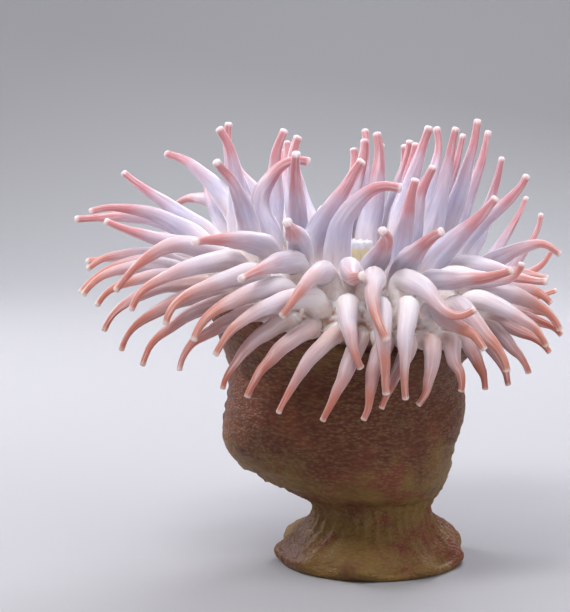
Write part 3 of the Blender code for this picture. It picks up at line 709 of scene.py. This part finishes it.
def collarRings(last, before, azimuth):
    # From the wall out to the rim on a cubic curve, which starts along the wall and ends along the disc.
    rim = crownPoint(crown["lastArc"], azimuth)
    wallWay = unit(last - before) * trunk["wallSwing"]
    rimWay = unit(crownPoint(crown["lastArc"] - trunk["rimStep"], azimuth) - rim) * trunk["rimSwing"]
    shares = np.linspace(0, 1, trunk["collarRows"] + 2)[1:-1]
    return [cubic(t, last, wallWay, rim, rimWay) for t in shares]


def mouthRings(u, around, azimuth, middle):
    # Rings over the middle of the disc: up the cone, over the frilled lips and down the slit of the throat.
    plane = crownPoint(crown["firstArc"], azimuth) - middle
    slope = plane[:, 2] / crown["firstArc"]
    turn = 2 * np.pi * u
    wave = sum(share * np.sin(count * turn + start) for count, share, start in mouth["frills"])
    lift = np.sin(mouth["frills"][0][0] * turn + mouth["frillLag"])
    parts, places = [], []
    for k, ((height, radius), keeps) in enumerate(zip(mouth["rings"], mouth["keeps"])):
        frill = bell(height, *mouth["frillBell"]) * (k < mouth["frillRings"])
        slit = 1 - mouth["slit"] * fadeIn(k, *mouth["slitRings"]) * np.abs(around[:, 1])
        reach = (radius + mouth["frillWide"] * frill * wave * (radius > 0)) * slit
        if k in range(*mouth["pleatRings"]):
            reach = reach + mouth["pleatHigh"] * np.cos(mouth["pleats"] * turn)
        z = middle[2] + height + slope * radius * keeps + mouth["frillHigh"] * frill * lift
        parts.append(np.concatenate([around * reach[:, None] + middle[:2], z[:, None]], axis=1))
        inMouth = zones["mouth"] + zones["lip"] * frill
        places.append(inMouth if k >= mouth["discRings"] else zones["disc"] + k / mouth["discRings"])
    return parts, places


def outwardOf(points):
    # The grid's directions outward: how it runs round crossed with how it runs along.
    out = unit(np.cross(np.gradient(points, axis=1), np.gradient(points, axis=0)))
    out[:, 0] = out[:, -1] = (out[:, 1] + out[:, -2]) / 2
    out[: trunk["footRows"] + 1] = 0
    return unit(out)


def bodyFolds(points, places, circuit, travel, middle):
    # How far each point is lifted along the way outward, and the ridges of the tissue, from 0 to 1.
    def rippled(name, along=travel):
        return ripple(circuit, along, *folds["ripples"][name])

    z = points[..., 2]
    onColumn = fadeIn(z, *folds["onWall"]) * fadeIn(places, *folds["offWall"])
    tuck = rippled("tuck") * folds["tuck"] * bell(z, *folds["tuckBell"])
    furrow = 0.5 - np.minimum(np.abs(rippled("furrow")) * folds["furrowSharp"], 1)
    furrow = furrow * (folds["furrow"] + folds["waistFurrow"] * bell(z, *folds["waistBell"]))
    edge = bell(z, *folds["footBell"]) * fadeIn(z, *folds["footRise"])
    lobes = rippled("footLobe", 0 * travel) * folds["footLobe"] * edge
    broad = rippled("swell") * folds["swell"] + rippled("wrinkle") * folds["wrinkle"]
    onDisc = fadeIn(places, *folds["onDisc"]) * (places < folds["offDisc"])
    toRim = fadeIn(np.linalg.norm(points[..., :2] - middle[:2], axis=2), *folds["crumpleFrom"])
    ridge = 1 - np.minimum(np.abs(rippled("crumple")) * folds["crumpleSharp"], 1)
    crumple = (ridge * ridge - folds["crumpleSink"]) * folds["crumple"] * toRim
    spokes = np.cos(2 * np.pi * folds["spokes"] * circuit) * folds["spoke"] * (1 - toRim)
    return onColumn * (broad + tuck + furrow + lobes) + onDisc * (crumple + spokes), ridge


def buildBody():
    # A profile carried round: the flat foot, the column, the collar that widens to the rim, the disc to the
    # mouth, and the mouth's throat. Folds and wrinkles are then added along the way out of the surface.
    u = np.arange(trunk["turns"] + 1) / trunk["turns"]
    azimuth = u * 360
    around = np.stack([np.cos(2 * np.pi * u), np.sin(2 * np.pi * u)], axis=-1)
    parts = columnRings(around)
    parts += collarRings(parts[-1], parts[-2], azimuth)
    places = [zones["column"]] * len(parts)
    arcs = np.linspace(0, 1, trunk["discRows"]) ** trunk["discSpread"]
    arcs = crown["lastArc"] + (trunk["discEnd"] - crown["lastArc"]) * arcs
    parts += [crownPoint(arc, azimuth) for arc in arcs]
    places += list(zones["column"] + fadeIn(arcs, crown["lastArc"], -trunk["rimFade"]))
    middle = crownPoint(crown["firstArc"], np.arange(0, 360, 10)).mean(axis=0)
    lips, lipPlaces = mouthRings(u, around, azimuth, middle)
    points = np.stack(parts + lips)
    places = np.array(places + lipPlaces)[:, None]
    points[0] = points[0].mean(axis=0)
    points[-1] = points[-1].mean(axis=0)
    steps = np.linalg.norm(np.diff(points, axis=0), axis=2).mean(axis=1)
    circuit, travel = u[None], np.concatenate([[0], np.cumsum(steps)])[:, None]
    lift, ridge = bodyFolds(points, places, circuit, travel, middle)
    points = points + outwardOf(points) * lift[..., None]
    points[:, -1] = points[:, 0]
    share = travel / travel[-1]
    edge, high = atlas["bodyEdge"], atlas["bodyHigh"] - atlas["bodyGap"]
    uv = stacked(edge + (1 - 2 * edge) * circuit, edge + high * share)
    flow = stacked(*(around.T[:, None] * trunk["grainRound"]), travel)
    place = stacked(share, places, ridge)
    return addObject("body", closedGrid("body", points[:, :-1], uv, flow, place))


def joinSkin(body, tubes):
    # The one closed surface round the body and all the tentacles; what lies inside it is dropped.
    together = bpy.data.collections.new("tubes")
    scene.collection.children.link(together)
    for tube in tubes:
        scene.collection.objects.unlink(tube)
        together.objects.link(tube)
    union = body.modifiers.new("union", "BOOLEAN")
    union.operation = "UNION"
    union.solver = "MANIFOLD"
    union.operand_type = "COLLECTION"
    union.collection = together
    mesh = bpy.data.meshes.new_from_object(body.evaluated_get(bpy.context.evaluated_depsgraph_get()))
    for done in [*tubes, body]:
        bpy.data.objects.remove(done)
    bpy.data.collections.remove(together)
    mesh.name = "skin"
    return mesh


def readAll(items, key, width, kind=np.float32):
    # the other way round: one row for each item
    values = np.zeros(len(items) * width, kind)
    items.foreach_get(key, values)
    return values.reshape(-1, width)


crease = {
    "rounds": 3,
    "pull": 0.5,  # toward the neighbours' mean, each round
    "nextPull": 0.5,  # share of it for the points next to a crease
    "above": 0.02,  # the foot stays as it is
    "toBody": 4,  # least difference between the owners of a tentacle and the body
    "tentacles": 5,  # owners below this are two tentacles
    "toOther": 1e-4,
}


def softenCreases(mesh):
    # Points where two surfaces meet, and those next to them, move toward the mean of their neighbours. The
    # owner of a corner is ten times its zone, plus a tentacle's own tone, so no two surfaces share one.
    count = len(mesh.vertices)
    points = readAll(mesh.vertices, "co", 3).astype(float)
    corners = readAll(mesh.loops, "vertex_index", 1, np.int32)[:, 0]
    zone, tone = readAll(mesh.attributes["place"].data, "vector", 3)[:, 1:].T
    owner = zone * 10 + tone * (zone < zones["tentacle"])
    low, high = np.full(count, np.inf), np.full(count, -np.inf)
    np.minimum.at(low, corners, owner)
    np.maximum.at(high, corners, owner)
    differs = high - low
    soft = (differs > crease["toBody"]) | ((high < crease["tentacles"]) & (differs > crease["toOther"]))
    a, b = readAll(mesh.edges, "vertices", 2, np.int32).T
    weight = soft.astype(float)
    spread = weight.copy()
    np.maximum.at(spread, a, weight[b] * crease["nextPull"])
    np.maximum.at(spread, b, weight[a] * crease["nextPull"])
    spread *= points[:, 2] > crease["above"]
    near = np.bincount(a, minlength=count) + np.bincount(b, minlength=count)
    for _ in range(crease["rounds"]):
        mean = np.zeros_like(points)
        np.add.at(mean, a, points[b])
        np.add.at(mean, b, points[a])
        mean /= near[:, None]
        points += (mean - points) * (crease["pull"] * spread)[:, None]
    fill(mesh.vertices, "co", points)
    mesh.update()


def shareOut(mesh):
    # Faces of the column wear the second material and all others the first.
    first = readAll(mesh.polygons, "loop_start", 1, np.int32)[:, 0]
    zone = readAll(mesh.attributes["place"].data, "vector", 3)[first, 1]
    isColumn = (zone > zones["tentacle"]) & (zone < zones["columnEnd"])
    fill(mesh.polygons, "material_index", isColumn, np.int32)


body = buildBody()
tubes = buildTentacles(plan, lines)
print("surfaces worked out")
skinMesh = joinSkin(body, tubes)
softenCreases(skinMesh)
skinMesh.polygons.foreach_set("use_smooth", [True] * len(skinMesh.polygons))
anemone = addObject("skin", skinMesh)
print("skin joined,", len(skinMesh.polygons), "faces")

# Noise by what it is for: scale, detail, roughness and, on the surface's own pattern, how it is stretched.
grain = {
    "cloud": (70.0, 3.0, 0.5),
    "streak": (420.0, 3.0, 0.6),
    "rings": (170.0, 3.0, 0.6, (1, 1, 34)),
    "patch": (19.0, 5.0, 0.62),
    "rust": (33.0, 5.0, 0.66),
    "beadField": (55.0, 3.0, 0.5),
    "level": (60.0, 5.0, 0.66, (1, 1, 4)),
    "weave": (820.0, 2.0, 0.5, (0.32, 0.32, 1)),
    "crinkle": (330.0, 4.0, 0.65),
    "fine": (900.0, 3.0, 0.6),
}

# What share of the bump's height each pattern has.
relief = {"streak": 0.16, "rings": 0.14, "bead": 0.30, "level": 0.6, "weave": 0.45, "crinkle": 1.1}
relief |= {"fine": 0.05, "strength": 0.8, "height": 0.001}

# A pair gives the values between which something comes in, or goes out where the second is the lower. A
# layer is such a pair for its pattern, the layer's share there, and its colour.
arm = {
    # colours down a tentacle, from its root: a lifted one is lilac and pink, a hanging one cream and orange
    "lifted": (
        (0.00, (0.88, 0.84, 0.84)),
        (0.16, (0.74, 0.69, 0.73)),
        (0.42, (0.56, 0.54, 0.66)),
        (0.64, (0.57, 0.46, 0.54)),
        (0.80, (0.55, 0.28, 0.31)),
        (0.955, (0.50, 0.25, 0.26)),
        (0.985, (0.72, 0.60, 0.60)),
    ),
    "hanging": (
        (0.00, (0.90, 0.86, 0.81)),
        (0.18, (0.78, 0.72, 0.73)),
        (0.42, (0.70, 0.62, 0.67)),
        (0.60, (0.65, 0.47, 0.47)),
        (0.78, (0.58, 0.265, 0.20)),
        (0.955, (0.51, 0.22, 0.155)),
        (0.985, (0.70, 0.57, 0.50)),
    ),
    "toneShift": 0.16,  # how much earlier or later one turns pink than another
    "cloudShift": 0.14,
    "evenTip": (0.80, 0.93),
    # painted shade: the lowest row, hanging under the crown, is multiplied darker and browner
    "low": (0.80, 0.66, 0.62),  # what the lowest row's colour is multiplied by
    "shadedLowZone": (0.39, 0.43),
    "pale": ((0.45, 0.75), 0.42, (0.93, 0.90, 0.96)),
    "dark": ((0.48, 0.30), 0.28, (0.50, 0.25, 0.26)),
}

bark = {
    "brown": (0.125, 0.042, 0.025),
    "olive": ((0.36, 0.52), 1.0, (0.215, 0.125, 0.040)),
    "rust": ((0.50, 0.64), 1.0, (0.190, 0.055, 0.032)),
    "weave": ((0.46, 0.66), 0.22, (0.34, 0.215, 0.095)),
    # painted shade: near black down in the grooves of the level wrinkles
    "crease": ((0.44, 0.28), 0.55, (0.052, 0.020, 0.012)),
    # the column turns brown toward its top: partly its own colour, partly painted shade under the crown
    "brownShadeHeights": (0.035, 0.090),
    "brownShadeShift": 0.22,
    "beadSize": 0.0014,
    "beadLong": (0.6, 0.6, 1.15),
    "beadUneven": 0.85,
    "beadEdge": (0.60, 0.10),
    "beadField": (0.25, 0.55),
    "beadShare": 0.34,
    "bead": (0.34, 0.215, 0.095),
}

tissue = {
    # painted shade: the tissue is darker and warmer down in its folds than on its white ridges
    "foldShade": (0.70, 0.47, 0.36),
    "slope": ((0.30, 0.58), 1.0, (0.90, 0.78, 0.73)),
    "ridge": ((0.56, 0.80), 1.0, (0.99, 0.96, 0.97)),
    "share": 0.6,  # of the ridges, and of the noise on them
    "onRoot": 0.55,  # what stands for a ridge on a root
    "root": (0.17, 0.035),  # shares of a tentacle's length over which its folded root ends
    "mouth": (0.84, 0.80, 0.58),
    "lip": ((3.12, 3.38), 1.0, (0.80, 0.84, 0.96)),  # in zones, as the next three pairs are
    "offBark": (1.05, 1.5),
    "onDisc": (1.05, 1.6),
    "onMouth": (2.2, 2.8),
}

# What differs between the tentacles with the disc, and the column; then what they share.
finishes = {
    "flesh": (0.92, 0.006, 0.48, 0.3, 1.0, 0.2, 0.08),
    "hide": (0.25, 0.0015, 0.5, 0.2, 0.0, 0.5, 0.03),
}
sockets = ("Subsurface Weight", "Subsurface Scale", "Roughness", "Specular IOR Level")
sockets += ("Sheen Weight", "Sheen Roughness", "Coat Weight")
shared = {
    "Subsurface Radius": (1.0, 0.84, 0.82),
    "IOR": 1.36,
    "Sheen Tint": (0.98, 0.97, 1.0, 1.0),
    "Coat Roughness": 0.25,
}


class Look:
    # A material's nodes, short ways to lay them out, and what the skin says of a point. "place" holds the
    # share of the length, the zone, and a tentacle's tone or the body's ridges. "flow" runs with the skin.
    def __init__(self, name):
        self.material = bpy.data.materials.new(name)
        self.material.use_nodes = True
        self.tree = self.material.node_tree
        self.own = self.tree.nodes.new("ShaderNodeTexCoord").outputs["Object"]
        self.flow = self.read("flow")
        self.along, self.zone, self.tone = self.add("ShaderNodeSeparateXYZ", self.read("place")).outputs
        self.onTentacle = self.math("LESS_THAN", self.zone, zones["tentacle"])
        self.onBody = self.less(1.0, self.onTentacle)
        self.onColumn = self.times(self.onBody, self.less(1.0, self.within(self.zone, tissue["offBark"])))
        self.onDisc = self.times(self.onBody, self.less(1.0, self.onColumn))

    def add(self, kind, *values, **named):
        node = self.tree.nodes.new(kind)
        for label, value in [*enumerate(values), *named.items()]:
            self.set(node, label, value)
        return node

    def set(self, node, label, value):
        socket = node.inputs[label]
        if isinstance(value, bpy.types.NodeSocket):
            self.tree.links.new(value, socket)
        else:
            socket.default_value = value

    def read(self, name):
        node = self.tree.nodes.new("ShaderNodeAttribute")
        node.attribute_name = name
        return node.outputs["Vector"]

    def math(self, operation, *values):
        node = self.add("ShaderNodeMath", *values)
        node.operation = operation
        return node.outputs[0]

    def plus(self, a, b):
        return self.math("ADD", a, b)

    def less(self, a, b):
        return self.math("SUBTRACT", a, b)

    def times(self, a, b):
        return self.math("MULTIPLY", a, b)

    def mix(self, share, a, b, blend="MIX"):
        node = self.tree.nodes.new("ShaderNodeMix")
        node.data_type = "RGBA"
        node.blend_type = blend
        for label, value in ((0, share), (6, a), (7, b)):
            self.set(node, label, (*value, 1) if isinstance(value, tuple) else value)
        return node.outputs[2]

    def heights(self, **patterns):
        total = 0.0
        for name, pattern in patterns.items():
            total = self.plus(total, self.times(pattern, relief[name]))
        return total

    def layer(self, color, pattern, ends, share, over):
        return self.mix(self.times(self.within(pattern, ends), share), color, over)

    def within(self, value, ends):
        node = self.add("ShaderNodeMapRange", value, *ends)
        node.interpolation_type = "SMOOTHSTEP"
        return node.outputs[0]

    def stretch(self, vector, factors):
        node = self.add("ShaderNodeVectorMath", vector, factors)
        node.operation = "MULTIPLY"
        return node.outputs[0]

    def noise(self, vector, name):
        scale, detail, rough, *stretch = grain[name]
        vector = self.stretch(vector, *stretch) if stretch else vector
        node = self.add("ShaderNodeTexNoise", Vector=vector, Scale=scale, Detail=detail, Roughness=rough)
        return node.outputs["Fac"]

    def ramp(self, value, keys):
        node = self.add("ShaderNodeValToRGB", value)
        node.color_ramp.interpolation = "EASE"
        points = node.color_ramp.elements
        while len(points) < len(keys):
            points.new(0.5)
        for point, (at, color) in zip(points, keys):
            point.position = at
            point.color = (*color, 1)
        return node.outputs["Color"]


def armLook(n):
    # A tentacle: a gradient that starts earlier on some than on others, with pale and dark streaks, and the
    # lowest row darkened as painted shade.
    cloud, streak, rings = n.noise(n.own, "cloud"), n.noise(n.flow, "streak"), n.noise(n.flow, "rings")
    shift = n.times(n.less(n.tone, 0.5), arm["toneShift"])
    shift = n.plus(shift, n.times(n.less(cloud, 0.5), arm["cloudShift"]))
    travel = n.plus(n.along, n.times(shift, n.less(1.0, n.within(n.along, arm["evenTip"]))))
    warm = n.add("ShaderNodeClamp", n.math("DIVIDE", n.zone, zones["warm"])).outputs[0]
    color = n.mix(warm, n.ramp(travel, arm["lifted"]), n.ramp(travel, arm["hanging"]))
    # painted shade: the lowest hanging row is multiplied darker and browner
    color = n.mix(n.within(n.zone, arm["shadedLowZone"]), color, arm["low"], "MULTIPLY")
    color = n.layer(n.layer(color, streak, *arm["pale"]), streak, *arm["dark"])
    return color, n.heights(streak=streak, rings=rings)


def barkLook(n):
    # The column: mottled, from rust and brown at the top to olive, with level wrinkles and beaded patches.
    # The brown at the top is partly the column's own colour and partly painted shade under the crown, and
    # the wrinkles' grooves carry painted shade.
    # a bias to brown toward the top: partly the column's own colour, partly painted shade under the crown
    high = n.within(n.add("ShaderNodeSeparateXYZ", n.own).outputs[2], bark["brownShadeHeights"])
    patch = n.less(n.noise(n.own, "patch"), n.times(high, bark["brownShadeShift"]))
    level, weave = n.noise(n.flow, "level"), n.noise(n.flow, "weave")
    cells = n.add("ShaderNodeTexVoronoi", Vector=n.stretch(n.flow, bark["beadLong"]))
    n.set(cells, "Scale", 1 / bark["beadSize"])
    n.set(cells, "Randomness", bark["beadUneven"])
    bead = n.within(cells.outputs["Distance"], bark["beadEdge"])
    bead = n.times(bead, n.within(n.noise(n.own, "beadField"), bark["beadField"]))
    color = n.layer(bark["brown"], patch, *bark["olive"])
    color = n.layer(color, n.noise(n.own, "rust"), *bark["rust"])
    color = n.layer(color, weave, *bark["weave"])
    color = n.mix(n.times(bead, bark["beadShare"]), color, bark["bead"])
    # painted shade in the grooves of the level wrinkles, where the bump sinks
    color = n.layer(color, level, *bark["crease"])
    return color, n.heights(bead=bead, level=level, weave=weave)


def tissueLook(n):
    # The disc and the roots: folded tissue, white on its ridges, with painted shade, darker and warmer, down
    # in its folds.
    crinkle = n.noise(n.own, "crinkle")
    crest = n.plus(n.times(n.tone, n.onBody), n.times(n.onTentacle, tissue["onRoot"]))
    folded = n.plus(n.times(crest, tissue["share"]), n.times(crinkle, tissue["share"]))
    # painted shade in the folds: from the dark warm hollows up to the white ridges
    color = n.layer(tissue["foldShade"], folded, *tissue["slope"])
    return n.layer(color, folded, *tissue["ridge"]), crinkle


def makeFlesh(name, finish):
    # Both materials know every zone, so that neither shows where it ends. The heights add up to one bump.
    n = Look(name)
    armColor, armHeight = armLook(n)
    barkColor, barkHeight = barkLook(n)
    tissueColor, crinkle = tissueLook(n)
    color = n.mix(n.within(n.zone, tissue["onDisc"]), barkColor, tissueColor)
    lips = n.layer(tissue["mouth"], n.zone, *tissue["lip"])
    color = n.mix(n.within(n.zone, tissue["onMouth"]), color, lips)
    root = n.times(n.onTentacle, n.within(n.along, tissue["root"]))
    color = n.mix(root, n.mix(n.onTentacle, color, armColor), tissueColor)
    height = n.plus(n.times(armHeight, n.onTentacle), n.times(barkHeight, n.onColumn))
    crinkle = n.times(crinkle, n.plus(n.onDisc, root))
    height = n.plus(height, n.heights(crinkle=crinkle, fine=n.noise(n.own, "fine")))
    bump = n.add("ShaderNodeBump", Height=height, Strength=relief["strength"], Distance=relief["height"])
    shader = n.tree.nodes["Principled BSDF"]
    shader.subsurface_method = "RANDOM_WALK"
    settings = {"Base Color": color, "Normal": bump.outputs[0], **dict(zip(sockets, finish)), **shared}
    for label, value in settings.items():
        n.set(shader, label, value)
    return n.material


skinMesh.materials.clear()
for name, finish in finishes.items():
    skinMesh.materials.append(makeFlesh(name, finish))
shareOut(skinMesh)
print("flesh mixed")

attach(anemone, "root")
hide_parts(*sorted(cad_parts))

studio = {
    "floor": (0.38, 0.38, 0.395),
    "floorRough": 0.9,
    "floorWide": 5.0,  # either way
    "floorNear": -5.0,
    "flatTo": 0.6,
    "bend": 0.9,  # radius, and how far back the floor starts to rise
    "wallTop": 3.5,
    "sky": (0.55, 0.56, 0.60),
    "skyStrength": 0.58,
    # place, aim, size across, power and colour
    "lights": {
        "key": ((-0.42, -0.55, 1.25), (-0.01, 0, 0.12), 0.4, 10.5, (1.0, 0.97, 0.99)),
        "fill": ((0.9, -0.7, 0.5), (0, 0, 0.11), 0.7, 3, (0.95, 0.95, 1.0)),
        "back": ((0.30, 0.85, 0.80), (0, 0, 0.14), 0.5, 9, (0.93, 0.92, 1.0)),
        "rim": ((-0.80, 0.55, 0.50), (0, 0, 0.13), 0.4, 6, (0.95, 0.95, 1.0)),
        "wash": ((0.0, 0.5, 2.2), (0, 1.9, 0.6), 1.2, 10, (0.98, 0.98, 1.0)),
        "ceiling": ((0.0, 0.0, 2.8), (0, 0.001, 0), 5.0, 32, (0.99, 0.98, 1.0)),
    },
    "target": (-0.03867, 0.0, 0.115),
    "distance": 0.90,
    "pitch": 8,
    "lens": 119.1,
    "film": 36,
    "sight": 20,
}


def makeFloor():
    # Flat near the object, then a smooth quarter turn up behind it: a profile in Y and Z carried along X.
    turn = np.linspace(0, 1, 24) * np.pi / 2
    bend = studio["bend"]
    y = np.concatenate([[studio["floorNear"], studio["flatTo"]], bend + bend * np.sin(turn), [2 * bend]])
    z = np.concatenate([[0.0, 0.0], bend - bend * np.cos(turn), [studio["wallTop"]]])
    x = np.array([-studio["floorWide"], studio["floorWide"]])
    grid = stacked(x[None], y[:, None], z[:, None]).reshape(-1, 3)
    row = np.arange(len(y) - 1) * 2
    faces = np.stack([row, row + 1, row + 3, row + 2], axis=-1)
    mesh = bpy.data.meshes.new("floor")
    mesh.from_pydata(grid.tolist(), [], faces.tolist())
    mesh.polygons.foreach_set("use_smooth", [True] * len(mesh.polygons))
    paper = bpy.data.materials.new("paper")
    paper.use_nodes = True
    shader = paper.node_tree.nodes["Principled BSDF"]
    shader.inputs["Base Color"].default_value = (*studio["floor"], 1)
    shader.inputs["Roughness"].default_value = studio["floorRough"]
    mesh.materials.append(paper)
    addObject("floor", mesh)


def addLight(name, place, aim, size, power, color):
    lamp = bpy.data.lights.new(name, "AREA")
    lamp.shape = "DISK"
    lamp.size = size
    lamp.energy = power
    lamp.color = color
    made = addObject(name, lamp)
    made.location = place
    made.rotation_euler = (Vector(aim) - Vector(place)).to_track_quat("-Z", "Y").to_euler()


def makeSky():
    world = bpy.data.worlds.new("studio")
    scene.world = world
    world.use_nodes = True
    background = world.node_tree.nodes["Background"]
    background.inputs["Color"].default_value = (*studio["sky"], 1)
    background.inputs["Strength"].default_value = studio["skyStrength"]


def makeCamera():
    # The distance away from the target, raised by the angle that the camera looks down at.
    lens = bpy.data.cameras.new("camera")
    lens.lens = studio["lens"]
    lens.sensor_width = studio["film"]
    lens.clip_end = studio["sight"]
    camera = addObject("camera", lens)
    down = math.radians(studio["pitch"])
    x, y, z = studio["target"]
    camera.location = (x, y - studio["distance"] * math.cos(down), z + studio["distance"] * math.sin(down))
    camera.rotation_euler = (math.pi / 2 - down, 0, 0)
    scene.camera = camera


makeFloor()
for name, settings in studio["lights"].items():
    addLight(name, *settings)
makeSky()
makeCamera()
scene.view_settings.view_transform = "Standard"
print("studio ready")
